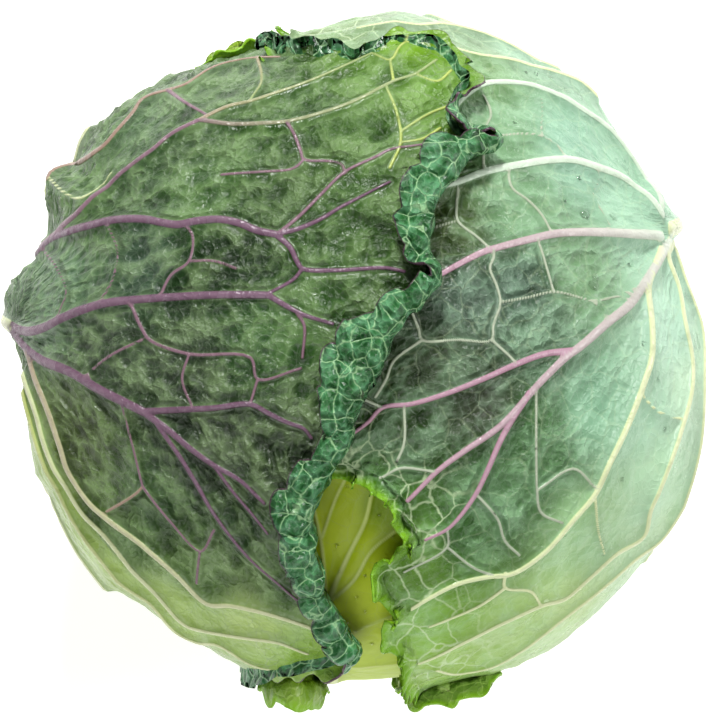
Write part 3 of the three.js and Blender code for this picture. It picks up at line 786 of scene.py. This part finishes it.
rightLeaf = {
    "name": "mint_right_leaf", "node": "right_leaf", "slot": "mint_leaf",
    "materials": (mintLeaf, greenLeaf),
    "cells": 106, "finer": (50, 1.2), "bladeShare": 0.91, "thickness": 0.7, "lift": 5,
    "middle": (66, -22), "knuckle": (87, 36),
    "ribHeight": 0.72, "rollRadius": 1.5, "paintBlur": 6,
    "ruffle": {"length": 6.5, "scallop": 0.18, "swing": 8, "wave": 3.0},
    "relief": {"cell": 9, "wrinkle": 5.4, "stretch": 3.0, "quilt": 1.2, "height": 2.4, "broad": 0.8,
               "pocket": 0.4, "puff": 1.5},
    "girth": [
        (102, -2), (96, -1), (90, 1), (83.6, 4), (75, 2.7), (67, 2.2), (59, 1.5), (51, 4.5), (42, 2),
        (32, -0.7), (28.4, 1.7), (23.5, 0.4), (20.8, -2), (14, -1), (6, 1.5), (-3, 3), (-9, 4),
        (-14.5, 5), (-24.5, 6), (-28.6, 5), (-36, 3.8), (-48, 3.4), (-59.5, 3.2), (-67, 2), (-71, 0.6),
        (-75, 0), (-80, 0), (-100, 0), (180, 0), (120, -2),
    ],
    "lumps": [(12, -36, 8, 1.5), (12, -70, 9, 1.5), (86, 38, 7, 1.5)],
    "outline": [
        *below((12, 163, 2, 10), (36, 163, 2, 10), (68, 146, 2, 10), (94, 124, 2, 10), (104, 104, 3, 15)),
        (-18, 92, 3, 25), (-22, 87, 3, 20), (-28, 70, 2, 0), (-36, 52, 2, 0), (-36, 30, 2, 0),
        (-32, 8, 2, 0), (-24, -14, 2, 0), (-14, -26, 2, 10), (-8, -28.5, 4, 35), (-1, -29.5, 5, 45),
        (4, -32, 5, 50), (9, -35, 5.5, 55), (12.5, -38.5, 5.5, 55), (14.5, -44, 5.5, 50),
        (17.5, -49, 5, 50), (17.5, -53, 5, 50), (13, -57, 5.5, 50), (9.5, -60.5, 5.5, 45),
        (9, -62.5, 5, 40), (11, -66.5, 5, 45), (14.5, -69, 5, 45), (14, -72.5, 5, 45), (12, -75.5, 5, 40),
        (12, -78.5, 5, 40), (15, -80.5, 5, 45), (16.5, -84.5, 5, 45), (16.5, -89, 5, 40),
        (18.5, -93, 4, 30),
        *below((284, 92, 4, 25), (290, 102, 3, 15), (304, 120, 2, 10), (322, 140, 2, 10),
        (346, 156, 2, 10)),
    ],
    "paint": [
        # the pale spots low and on the right, (88, 10) to (25, -86), are lighter than the leaf's own
        # colour: painted light where the lamps reach less
        (78, 42, "#a9d3b5"), (88, 10, "#c0e4cb"), (60, 58, "#98c2a8"), (40, 62, "#86ae84"),
        (20, 91, "#9ab490"), (52, 82, "#a3c3aa"), (27, 37, "#566b34"), (45, 40, "#86ae84"),
        (30, 18, "#53665a"), (46, 20, "#5c7466"), (62, 22, "#84aa80"), (54, 6, "#6d8c70"),
        (23, -1, "#3c4f2e"), (36, -13, "#4a5240"), (14, -22, "#365026"), (68, -12, "#8fbf9c"),
        (50, -22, "#5f8a58"), (40, -38, "#63905c"), (30, -50, "#578848"), (45, -75, "#b4d684"),
        (25, -86, "#a5ce58"), (84, -38, "#bfe4bc"), (8, -38, "#4f8422"), (15, -62, "#6f9a3a"),
        (24, 55, "#5f8448"), (66, -50, "#a9d098"), (28, 80, "#789e62"), (0, -14, "#345022"),
        (-10, 90, "#8aa86c"), (60, -70, "#c8e49c"), (82, -14, "#b4dcbc"), (94, -10, "#cdeacb"),
        (78, -56, "#c8e8b8"), (20, -76, "#8fbe4c"), (16, -56, "#79a83c"), (330, 120, "under", "#b9cc86"),
        (60, 110, "under", "#b4cb8c"), (20, 130, "under", "#c3d59a"),
    ],
    "ribs": [
        ("cream", 2.8, 1.2, [(58, 84), (40, 90), (25, 93), (17, 93), (8, 93.5), (0, 92)]),
        ("cream", 3.0, 1.2, [(66, 73), (55, 79), (45, 82), (33, 84.5), (25, 87)]),
        ("white", 3.6, 2.2, [(84, 42), (80, 49), (76, 55), (70, 63), (62, 69), (55, 73), (48, 75.5),
         (40, 76.5), (35, 76), (30, 73), (27, 70)]),
        ("white", 3.8, 2.4, [(84, 40), (80, 45), (75, 49), (67, 53), (60, 55), (55, 55), (45, 53.5),
         (35, 51.5), (28, 49), (24, 48)]),
        ("pale", 1.1, 0.7, [(58, 56), (55, 59.5), (50, 62), (37, 61.5)]),
        ("pale", 0.9, 0.7, [(51, 62.5), (51, 72)]),
        ("pale", 1.0, 0.7, [(35, 52), (35, 63), (37, 68), (35, 73)]),
        ("pale", 1.0, 0.7, [(42, 53), (42, 50), (43, 47), (47, 44), (51, 40), (54, 35)]),
        ("pale", 1.0, 0.7, [(67, 53), (67, 49), (66, 45), (70, 39), (70, 35)]),
        ("white pink", 3.8, 1.8, [(84, 34), (78, 34.5), (70, 35), (62, 35), (55, 34.5), (48, 33),
         (40, 31), (35, 29.5), (28, 26), (21, 22)]),
        ("pale", 1.1, 0.7, [(28, 47), (27.5, 42), (28, 38), (33, 34), (37, 30.5)]),
        ("pale", 0.9, 0.7, [(27, 38), (20, 36)]),
        ("pale", 1.1, 0.7, [(38, 30), (38, 28), (37, 25), (39, 20), (40, 15.5), (38, 9), (37.5, 5),
         (28, 5), (18, 5), (17, 8), (15, 13)]),
        ("pale", 1.0, 0.7, [(40, 15.5), (48, 17), (55, 18.5), (62, 17), (67, 15), (69, 11)]),
        ("pale", 1.0, 0.7, [(50, 33), (51, 31), (53, 25), (55, 18.5)]),
        ("pale", 1.0, 0.7, [(80, 20), (79, 20), (72, 17), (66, 16)]),
        ("pale", 1.0, 0.7, [(37.5, 5), (42, 1), (44, -1)]),
        ("pale", 1.1, 0.7, [(18, 5), (10, -1), (8, -6), (5, -11)]),
        ("white pink", 4.4, 1.6, [(86, 33), (84, 28), (80, 21), (76, 15), (70, 10), (62, 3), (58, 0),
         (50, -8), (40, -19), (30, -26), (22, -32), (14, -40)]),
        ("pink", 2.4, 1.2, [(60, 2), (52, 1), (44, -2), (35, -6), (25, -10), (15, -13), (7, -14),
         (3, -18), (-1, -21)]),
        ("pale", 0.9, 0.7, [(7, -14), (0, -11)]),
        ("pink", 2.6, 1.2, [(48, -10), (44, -16), (40, -23), (36, -32), (33, -38), (28, -45), (25, -48),
         (19, -51)]),
        ("pale", 1.0, 0.7, [(25, -48), (25, -53), (13, -60)]),
        ("pale", 1.0, 0.7, [(25, -53), (33, -59), (40, -61)]),
        ("pale", 1.0, 0.7, [(22, -32), (12, -31), (6, -34)]),
        ("pale", 1.0, 0.7, [(33, -38), (39, -45), (41, -51), (45, -55)]),
        ("pale", 1.0, 0.7, [(13, -13), (13, -24), (11, -29)]),
        ("pale", 1.0, 0.7, [(50, -8), (50, -22), (50, -37), (51, -43), (57, -46)]),
        ("pale", 0.9, 0.7, [(50, -37), (60, -31), (66, -36)]),
        ("cream", 3.6, 1.6, [(84, 30), (81, 20), (82, 10), (82, 0), (80, -7), (75, -20), (70, -30),
         (66, -38), (60, -45), (52, -54), (43, -60), (36, -61), (28, -63), (20, -67), (15, -70)]),
        ("cream", 1.4, 1.0, [(41, -60), (41, -64), (48, -65), (51, -69)]),
        ("cream", 1.5, 1.0, [(41, -64), (34, -69), (25, -73), (20, -75)]),
        ("cream", 1.3, 0.9, [(66, -38), (67, -48), (69, -55)]),
        ("cream", 1.2, 0.9, [(80, -11), (84, -15), (90, -17)]),
        ("cream", 3.6, 1.6, [(87, 32), (86, 28), (89, 20), (91, 10), (93, 0), (93, -8), (90, -20),
         (86, -32), (82, -42), (80, -50), (72, -55), (64, -62), (58, -67), (51, -69), (40, -74),
         (30, -79), (22, -83), (17, -85)]),
        ("cream", 3.2, 1.4, [(88, 30), (93, 17), (96, 8), (96.5, -5), (96, -20), (92, -38), (86, -50),
         (77, -57), (65, -67), (57, -73), (48, -80), (38, -86), (28, -88), (22, -87)]),
        # the midrib under the head, from the stem to the knuckle
        ("cream", 15, 5, [*below((24, 163), (24, 146), (23, 122), (22.5, 102)), (86, 36)]),
        ("cream", 8, 5, below((23, 118), (5, 110), (-14, 104), (-35, 98))),
        ("cream", 8, 5, below((23, 132), (0, 126), (-25, 118), (-48, 108))),
        ("cream", 8, 5, below((23, 116), (40, 108), (58, 102), (78, 96))),
        ("cream", 8, 5, below((23, 134), (45, 128), (66, 118), (86, 106))),
    ],
}

# ---- the young leaf that shows in the gap

heartLeaf = {
    "name": "young_heart_leaf", "node": "heart_leaf", "slot": "heart_leaf",
    "materials": (youngLeaf, youngLeaf),
    "cells": 120, "finer": (1.4,), "bladeShare": 0.95, "thickness": 0.6, "lift": 2.5,
    "middle": (1, -62), "knuckle": (-4, -88),
    "ribHeight": 0.4, "rollRadius": 1.5, "paintBlur": 6,
    "ruffle": {"length": 12, "scallop": 0.1, "swing": 10, "wave": 0.3},
    "relief": {"cell": 13, "wrinkle": 9, "stretch": 2.0, "quilt": 0.7, "height": 0.25, "broad": 0.6,
               "pocket": 0.15, "puff": 0.1},
    "girth": [
        (0, 0), (214, -1), (228, -4), (236, -5), (244, -5), (253, -3.5), (262, -2.8), (266, -2),
        (278, -2), (290, 0),
    ],
    "lumps": [(3, -46, 16, -3.5)],
    "outline": [
        *below((255, 163, 1, 0), (277, 163, 1, 0), (300, 140, 1, 0), (316, 112, 1, 0)), (56, -56, 1, 0),
        (50, -12, 1, 0), (20, 18, 1, 0), (-20, 18, 1, 0), (-50, -12, 1, 0), (-56, -56, 1, 0),
        *below((218, 112, 1, 0), (235, 140, 1, 0)),
    ],
    "paint": [
        # (8, -42) is painted shade under the right leaf's margin; the other spots are lighter than the
        # leaf's own colour, painted light against the lamps' shade here
        (0, -86, "#c0d650"), (-6, -70, "#d0e240"), (0, -55, "#c2d828"), (8, -42, "#7c9a08"),
        (-8, -45, "#cce030"), (8, -68, "#cce030"), (-10, -35, "#b4cc1c"), (267, 120, "under", "#c3d488"),
    ],
    "ribs": [
        ("lime", 2.6, 1.0, [(-7, -88), (-8, -78), (-8, -68), (-3, -56), (2, -46), (4, -38)]),
        ("lime", 1.5, 0.9, [(-8, -68), (-1, -62), (4, -54), (13, -47)]),
        ("lime", 1.3, 0.8, [(-9, -65), (-10, -53), (-12, -43)]),
        ("lime", 1.0, 0.8, [(-10, -50), (-6, -39), (-3.5, -34)]),
        ("lime", 1.2, 0.8, [(-8, -77), (-3.5, -77), (3.5, -74.5), (10, -72)]),
        ("lime", 1.4, 0.9, [(-6, -86), (0, -86.5), (5.5, -86), (16, -85)]),
        ("cream", 13, 4, [*below((266, 163), (266, 145), (266, 120), (265, 100)), (-7, -88)]),
    ],
}


# ---- low leaves, of which only the frilled tips show from above


# a side rib and its fork: share of the spread, and degrees up from the midrib
sideSteps = ((0, 0), (0.35, 5), (0.7, 13), (1, 24))
forkSteps = ((0.35, 5), (0.8, 7), (1.1, 11))


def lowRibs(foot, tip, spread):  # a midrib with side ribs that fan out and up from it
    tipCompass, tipDown = tip
    middleLine = [(foot + (tipCompass - foot) * part**1.5, footDown + (tipDown - footDown) * part)
                  for part in np.linspace(0, 1, 7)]
    ribs = [("cream", 12, 2.2, below(*middleLine))]
    for i, (compass, down) in enumerate(middleLine[1:5]):
        for side in (-1, 1):
            wide = side * spread * (0.55 + 0.15 * i)
            for startWidth, endWidth, steps in ((3.4 - 0.4 * i, 1.1, sideSteps), (1.6, 0.9, forkSteps)):
                route = [(compass + wide * share, down - rise) for share, rise in steps]
                ribs.append(("cream", startWidth, endWidth, below(*route)))
    return ribs


lowLeaf = {
    "slot": "green_leaf", "materials": (greenLeaf, greenLeaf), "cells": 130, "finer": (),
    "bladeShare": 0.9, "thickness": 0.7,
    "ribHeight": 0.72, "rollRadius": 3, "paintBlur": 10, "lumps": [],
    "ruffle": {"length": 8, "scallop": 0.18, "swing": 5, "wave": 1.0},
    "relief": {"cell": 11, "wrinkle": 8, "stretch": 2.0, "quilt": 1.2, "height": 1.8, "broad": 0.8,
               "pocket": 0.5, "puff": 0.5},
}
backLeaf = {
    **lowLeaf, "name": "low_back_leaf", "node": "back_leaf", "lift": 10,
    "middle": (105, 118, "under"), "knuckle": (103, 160, "under"),
    "girth": [(60, -6), (85, -7), (98, -8.5), (112, -8.5), (124, -8.5), (145, -7), (250, -4)],
    "outline": [
        *below((92, 163, 2, 10), (113, 163, 2, 10), (130, 149, 3, 15), (142, 126, 3, 10),
        (136, 115, 2, 0), (126, 106, 2, 0), (121, 98, 1.5, 0), (118.5, 92, 2, 15), (116, 87, 3, 50),
        (111, 85.5, 3, 50), (107, 87, 3, 45), (105.5, 92, 2, 15), (102, 99, 1.5, 0), (97, 108, 2, 0),
        (86, 113, 3, 5), (67, 118, 3, 5), (62, 132, 3, 10), (76, 150, 2, 10)),
    ],
    "paint": [(112, 89, "under", "#9cc62a"), (130, 105, "under", "#86ad3a"), (80, 112, "under", "#86ad3a"),
              (103, 130, "under", "#9dbb62"), (103, 158, "under", "#ccd9a2")],
    "ribs": lowRibs(103, (112, 92), 34),
}
frontLeftLeaf = {
    **lowLeaf, "name": "low_front_left_leaf", "node": "front_left_leaf", "lift": 10,
    "middle": (252, 122, "under"), "knuckle": (238, 160, "under"),
    "girth": [(200, -7), (230, -8), (250, -8), (258, -7.5), (265, -8), (270, -8), (60, -4)],
    "outline": [
        *below((228, 163, 2, 10), (250, 163, 2, 10), (262, 147, 3, 15), (271, 126, 3, 10),
        (269, 113, 2, 0), (266.5, 103, 1.5, 0), (263.5, 95, 1.5, 0), (262.5, 85, 2.5, 50),
        (261.3, 76, 4.2, 110), (258.7, 73, 4.6, 115), (256.4, 76, 4.2, 110), (255.4, 85, 2.5, 50),
        (254, 95, 1.5, 0), (250, 103, 1.5, 0), (244, 110, 2, 0), (234, 114, 3, 5), (220, 117, 3, 5),
        (203, 119, 3, 5), (199, 133, 3, 10), (212, 150, 2, 10)),
    ],
    "paint": [(258, 85, "under", "#8fb83a"), (240, 105, "under", "#8fb34c"), (210, 115, "under", "#8fb34c"),
              (240, 130, "under", "#a5c06a"), (238, 158, "under", "#ccd9a2")],
    "ribs": lowRibs(239, (256, 93), 30),
}
frontRightLeaf = {
    **lowLeaf, "name": "low_front_right_leaf", "node": "front_right_leaf", "lift": 12.5,
    "middle": (300, 124, "under"), "knuckle": (326, 160, "under"),
    "girth": [(0, -8), (312, -8), (302, -7), (292, -6), (284, -6), (279, -6.5), (180, -4)],
    "outline": [
        *below((315, 163, 2, 10), (337, 163, 2, 10), (352, 149, 3, 15), (4, 134, 3, 10), (357, 122, 3, 5),
        (335, 118, 3, 5), (315, 115, 2, 0), (304, 109, 2, 0), (298, 101, 1.5, 0), (293.5, 92, 2, 20),
        (290, 86, 3.5, 60), (285, 85, 4, 60), (281, 86, 3.5, 60), (279.5, 92, 2, 20),
        (277.5, 101, 1.5, 0), (277, 113, 2, 0), (281, 128, 3, 15), (298, 150, 2, 10)),
    ],
    "paint": [(283, 92, "under", "#8db04f"), (300, 106, "under", "#8fb650"), (340, 118, "under", "#93b85a"),
              (320, 130, "under", "#a5c06a"), (326, 158, "under", "#ccd9a2")],
    "ribs": lowRibs(326, (286, 97), 34),
}

pieces = {leaf["name"]: makeLeaf(leaf)
          for leaf in (heartLeaf, rightLeaf, leftLeaf, backLeaf, frontLeftLeaf, frontRightLeaf)}

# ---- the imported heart

heartLook = {
    "name": "packed_heart", "segments": 144, "rings": 90, "lift": -4, "stepHeight": 2.2, "turns": 5,
    "ribHeight": 0.3, "girth": [(0, 0), (180, 0)], "lumps": [], "paintBlur": 20,
    "paint": [(0, 30, "under", "#a9bd62"), (90, 90, "under", "#b4c774"), (270, 90, "under", "#b4c774"),
              (0, 160, "under", "#dbe2b8"), (180, 160, "under", "#dbe2b8")],
    "ribs": [
        ("cream", 7, 2, below((compass, 165), (compass + 6, 135), (compass + 10, 105), (compass + 12, 70)))
        for compass in range(0, 360, 45)
    ],
}


def makeHeart(look):
    bpy.ops.mesh.primitive_uv_sphere_add(segments=look["segments"], ring_count=look["rings"], radius=1)
    piece = bpy.context.active_object
    piece.name = look["name"]
    mesh = piece.data
    directions = unit(cornerPlaces(mesh))
    flat = onHead(directions, np.full(len(directions), float(look["lift"])))
    compass = np.arctan2(directions[:, 1], directions[:, 0]) / (2 * np.pi)
    down = np.arccos(np.clip(directions[:, 2], -1, 1)) / np.pi
    # leaf edges wind round the heart, each a step down onto the next leaf
    wind = (compass * look["turns"] + down * 2.5 + 0.12 * noise(flat, 30, 41)) % 1
    away = np.sin(np.pi * down)
    step = look["stepHeight"] * (smoothStep(0, 0.12, wind) - wind) * away
    ridge, ribColour, ribGap = ribField(look, flat)
    ripples = 0.5 * noise(flat, 8, 42) + 0.3 * noise(flat, 4, 43)
    places = flat + unit(directions / headHalf) * (step + ridge + ripples)[:, None]
    # painted shade: the heart is darker just below each leaf edge's step
    blade = paintField(look, flat) * (1 - 0.25 * smoothStep(0.14, 0.0, wind))[:, None]
    mesh.vertices.foreach_set("co", (places * metre).ravel())
    writeAttributes(mesh, {"blade": blade, "rib": ribColour},
                    {"ribGap": ribGap, "depth": ripples, "hem": 0 * ribGap, "grainRun": down * 150,
                     "margin": 0 * ribGap, "crisp": 0.5 + 0 * ribGap},
                    {"grain": directions * 60})
    bpy.ops.object.shade_smooth()
    mesh.materials.append(youngLeaf)
    finishPiece(piece, "heart")
    print("heart made")
    return piece


makeHeart(heartLook)

# ---- the cut stem

stemLook = {
    "name": "stem_stub", "sides": 96, "levels": 9, "cutRings": 7, "bevel": 0.8, "bark": "#c9d39c",
    "cutShare": 0.82, "flesh": "#e9e8cf", "ring": "#cfd2a0", "dry": "#c9b98a", "fibreSpacing": 1.1,
    "ringRadius": 0.72,
}


def stemMaterial(look):
    # Cut cabbage stem: a wet, pale pith inside a slightly greener ring of fibres, drying brown at the rim.
    material = bpy.data.materials.new("cut_cabbage_stem")
    material.use_nodes = True
    tree = material.node_tree
    tree.nodes.clear()
    spot = addNode(tree, "TexCoord").outputs["Object"]
    parts = addNode(tree, "SeparateXYZ", None, {0: spot})
    flatSpot = addNode(tree, "CombineXYZ", None, {0: parts.outputs[0], 1: parts.outputs[1]})
    radius = addNode(tree, "VectorMath", {"operation": "LENGTH"}, {0: flatSpot})
    cutRadius = stemHigh[0] * metre * look["cutShare"]
    wobble = addNode(tree, "TexNoise", None, {"Vector": spot, "Scale": 180, "Detail": 5})
    share = addNode(tree, "Math", {"operation": "DIVIDE"}, {0: radius.outputs["Value"], 1: cutRadius})
    shaken = addNode(tree, "Math", timesPlus, {0: wobble, 1: 0.12, 2: share})
    rings = addNode(tree, "ValToRGB", None, {0: shaken})
    stops = [(0.0, look["flesh"]), (0.62, look["flesh"]), (look["ringRadius"], look["ring"]),
             (0.82, look["flesh"]), (0.98, look["bark"]), (1.0, look["dry"])]
    band = rings.color_ramp
    band.elements[0].position, band.elements[0].color = stops[0][0], rgba(stops[0][1])
    band.elements[1].position, band.elements[1].color = stops[-1][0], rgba(stops[-1][1])
    for place, colour in stops[1:-1]:
        band.elements.new(place).color = rgba(colour)
    fibres = addNode(tree, "TexVoronoi", None,
        {"Vector": spot, "Scale": 1 / (look["fibreSpacing"] * metre)})
    speck = addNode(tree, "MapRange", None,
        {"Value": fibres, "From Min": 0.0, "From Max": 0.5, "To Min": 0.25, "To Max": 0.0})
    coloured = addNode(tree, "Mix", mixed, {0: speck, 6: rings, 7: rgba(look["dry"])})
    bump = addNode(tree, "Bump", None, {"Height": fibres, "Strength": 0.35, "Distance": 0.4 * metre})
    shader = addNode(tree, "BsdfPrincipled", None,
        {"Base Color": coloured, "Roughness": 0.55, "Normal": bump})
    addNode(tree, "OutputMaterial", None, {"Surface": shader})
    return material


def makeStem(look):
    cutRadius, topRadius, tall = stemHigh[0] * look["cutShare"], stemHigh[0], stemHigh[2]
    bpy.ops.mesh.primitive_cone_add(
        vertices=look["sides"], radius1=cutRadius * metre, radius2=topRadius * metre, depth=tall * metre,
        location=(0, 0, tall * metre / 2))
    piece = bpy.context.active_object
    piece.name = look["name"]
    bpy.ops.object.transform_apply(location=True, rotation=True, scale=True)
    bpy.ops.object.mode_set(mode="EDIT")
    for level in range(1, look["levels"]):
        bpy.ops.mesh.select_all(action="SELECT")
        height = tall * metre * level / look["levels"]
        bpy.ops.mesh.bisect(plane_co=(0, 0, height), plane_no=(0, 0, 1))
    bpy.ops.mesh.select_mode(type="FACE")
    bpy.ops.object.mode_set(mode="OBJECT")
    for face in piece.data.polygons:
        face.select = face.normal.z < -0.9
    bpy.ops.object.mode_set(mode="EDIT")
    bpy.ops.mesh.bevel(offset=look["bevel"] * metre, segments=3)
    bpy.ops.object.mode_set(mode="OBJECT")
    for face in piece.data.polygons:
        face.select = face.normal.z < -0.999
    bpy.ops.object.mode_set(mode="EDIT")
    for _ in range(look["cutRings"]):
        bpy.ops.mesh.inset(thickness=cutRadius * metre / (look["cutRings"] + 1.5))
    bpy.ops.object.mode_set(mode="OBJECT")
    mesh = piece.data
    corners = cornerPlaces(mesh) / metre
    # leaf scars: slanting ledges round the stem, none on the cut
    compass = np.arctan2(corners[:, 1], corners[:, 0]) / (2 * np.pi)
    slant = (compass * 3 + corners[:, 2] / 6) % 1
    ledge = smoothStep(0, 0.15, slant) - slant
    fromAxis = np.hypot(corners[:, 0], corners[:, 1]) / topRadius
    reach = smoothStep(0.3, 3, corners[:, 2]) * smoothStep(0.3, 0.7, fromAxis)
    push = (0.9 * ledge + 0.5 * noise(corners, 6, 51) - 0.5) * reach
    sideways = unit(corners * np.array([1, 1, 0]))
    mesh.vertices.foreach_set("co", ((corners + sideways * push[:, None]) * metre).ravel())
    mesh.update()
    bpy.ops.object.shade_smooth()
    mesh.materials.append(stemMaterial(look))
    finishPiece(piece, "cut_stem")
    print("stem made")
    return piece


makeStem(stemLook)

# ---- water drops: (x, y, width), where the camera sees them

dropLook = {
    "name": "water_drops", "flatness": 0.5,
    "beads": {
        "mint_right_leaf": [
            (63.6, 40, 3.0), (71.4, 39.5, 2.4), (66, 20.4, 3.0), (66.4, 22.6, 2.4), (62, 50.4, 1.5),
            (47, 80, 1.2), (50, 79.5, 1.4), (54, 78.5, 1.2), (58, 44, 1.2), (76, 26, 1.3), (80, 4, 1.4),
            (84, -6, 1.2), (86, -20, 1.3), (74, -34, 1.3), (58, -50, 1.2), (44, 66, 1.3),
        ],
        "young_heart_leaf": [
            (-6, -52.6, 1.4), (6, -44, 1.2), (-0.5, -67, 1.3), (2, -61, 1.1), (5, -66, 1.2),
            (-3, -36, 1.1), (2, -71, 1.3), (-5, -60, 0.9), (8, -56, 1.0), (4, -80, 1.2), (-3, -74, 1.0),
            (10, -50, 1.0),
        ],
    },
}


def dropMaterial():
    # Clear water: colourless, mirror smooth, a small bright spark on each bead.
    material = bpy.data.materials.new("water")
    material.use_nodes = True
    tree = material.node_tree
    tree.nodes.clear()
    shader = addNode(tree, "BsdfPrincipled", None,
        {"Base Color": rgba("#ffffff"), "Roughness": 0.02, "IOR": 1.33, "Transmission Weight": 1.0})
    addNode(tree, "OutputMaterial", None, {"Surface": shader})
    return material


def makeDrops(look):
    eye = np.array([viewShift[0], viewShift[1], headMiddle[2] + cameraDistance])
    beads = []
    for leafName, spots in look["beads"].items():
        for x, y, width in spots:
            aim = unit(np.array([x, y, headMiddle[2]]) - eye)
            found, place, normal, _ = pieces[leafName].ray_cast(eye * metre, aim)
            if not found:
                continue
            lean = normal.to_track_quat("Z", "Y").to_euler()
            bpy.ops.mesh.primitive_uv_sphere_add(
                segments=20, ring_count=12, radius=width / 2 * metre, location=place, rotation=lean)
            bead = bpy.context.active_object
            bead.scale = (1, 1, look["flatness"])
            beads.append(bead)
    bpy.ops.object.select_all(action="DESELECT")
    for bead in beads:
        bead.select_set(True)
    bpy.context.view_layer.objects.active = beads[0]
    bpy.ops.object.transform_apply(location=True, rotation=True, scale=True)
    bpy.ops.object.join()
    piece = bpy.context.active_object
    piece.name = look["name"]
    bpy.ops.object.shade_smooth()
    piece.data.materials.append(dropMaterial())
    finishPiece(piece, None)
    print(len(beads), "drops laid")
    return piece


makeDrops(dropLook)

# ---- floor, light and camera

stageLook = {
    "floor": "#fafaf8", "glow": 0.45, "sky": 0.18, "floorSize": 12,
    # power in watts, width in metres, place in metres
    "lamps": {"back": (15.5, 0.2, (-0.1, 0.95, 0.8)), "right": (6, 0.4, (0.95, 0.1, 0.75)),
              "front": (9.0, 1.0, (-0.3, -0.85, 0.9))},
}


def makeStage(look):
    bpy.ops.mesh.primitive_plane_add(size=look["floorSize"])
    floor = bpy.context.active_object
    floor.name = "floor"
    paint = bpy.data.materials.new("matt_white_card")
    paint.use_nodes = True
    card = paint.node_tree.nodes["Principled BSDF"]
    card.inputs["Base Color"].default_value = rgba(look["floor"])
    card.inputs["Roughness"].default_value = 0.9
    card.inputs["Emission Color"].default_value = rgba("#ffffff")
    card.inputs["Emission Strength"].default_value = look["glow"]
    floor.data.materials.append(paint)
    world = bpy.data.worlds.new("soft_studio")
    bpy.context.scene.world = world
    world.use_nodes = True
    world.node_tree.nodes["Background"].inputs["Color"].default_value = rgba("#ffffff")
    world.node_tree.nodes["Background"].inputs["Strength"].default_value = look["sky"]
    for name, (watts, size, spot) in look["lamps"].items():
        lamp = bpy.data.lights.new(name, "AREA")
        lamp.energy, lamp.size = watts, size
        holder = bpy.data.objects.new(name, lamp)
        bpy.context.collection.objects.link(holder)
        holder.location = spot
        toHead = np.array([0, 0, headMiddle[2] * metre]) - np.array(spot)
        holder.rotation_mode = "QUATERNION"
        holder.rotation_quaternion = mathutils.Vector(toHead).to_track_quat("-Z", "Y")


makeStage(stageLook)

eyeData = bpy.data.cameras.new("camera")
eyeData.lens, eyeData.sensor_width = lensLength, filmWidth
eyeData.clip_start, eyeData.clip_end = 0.05, 50
camera = bpy.data.objects.new("camera", eyeData)
bpy.context.collection.objects.link(camera)
camera.location = (viewShift[0] * metre, viewShift[1] * metre, (headMiddle[2] + cameraDistance) * metre)
bpy.context.scene.camera = camera
bpy.context.scene.view_settings.view_transform = "Standard"

print("scene ready")
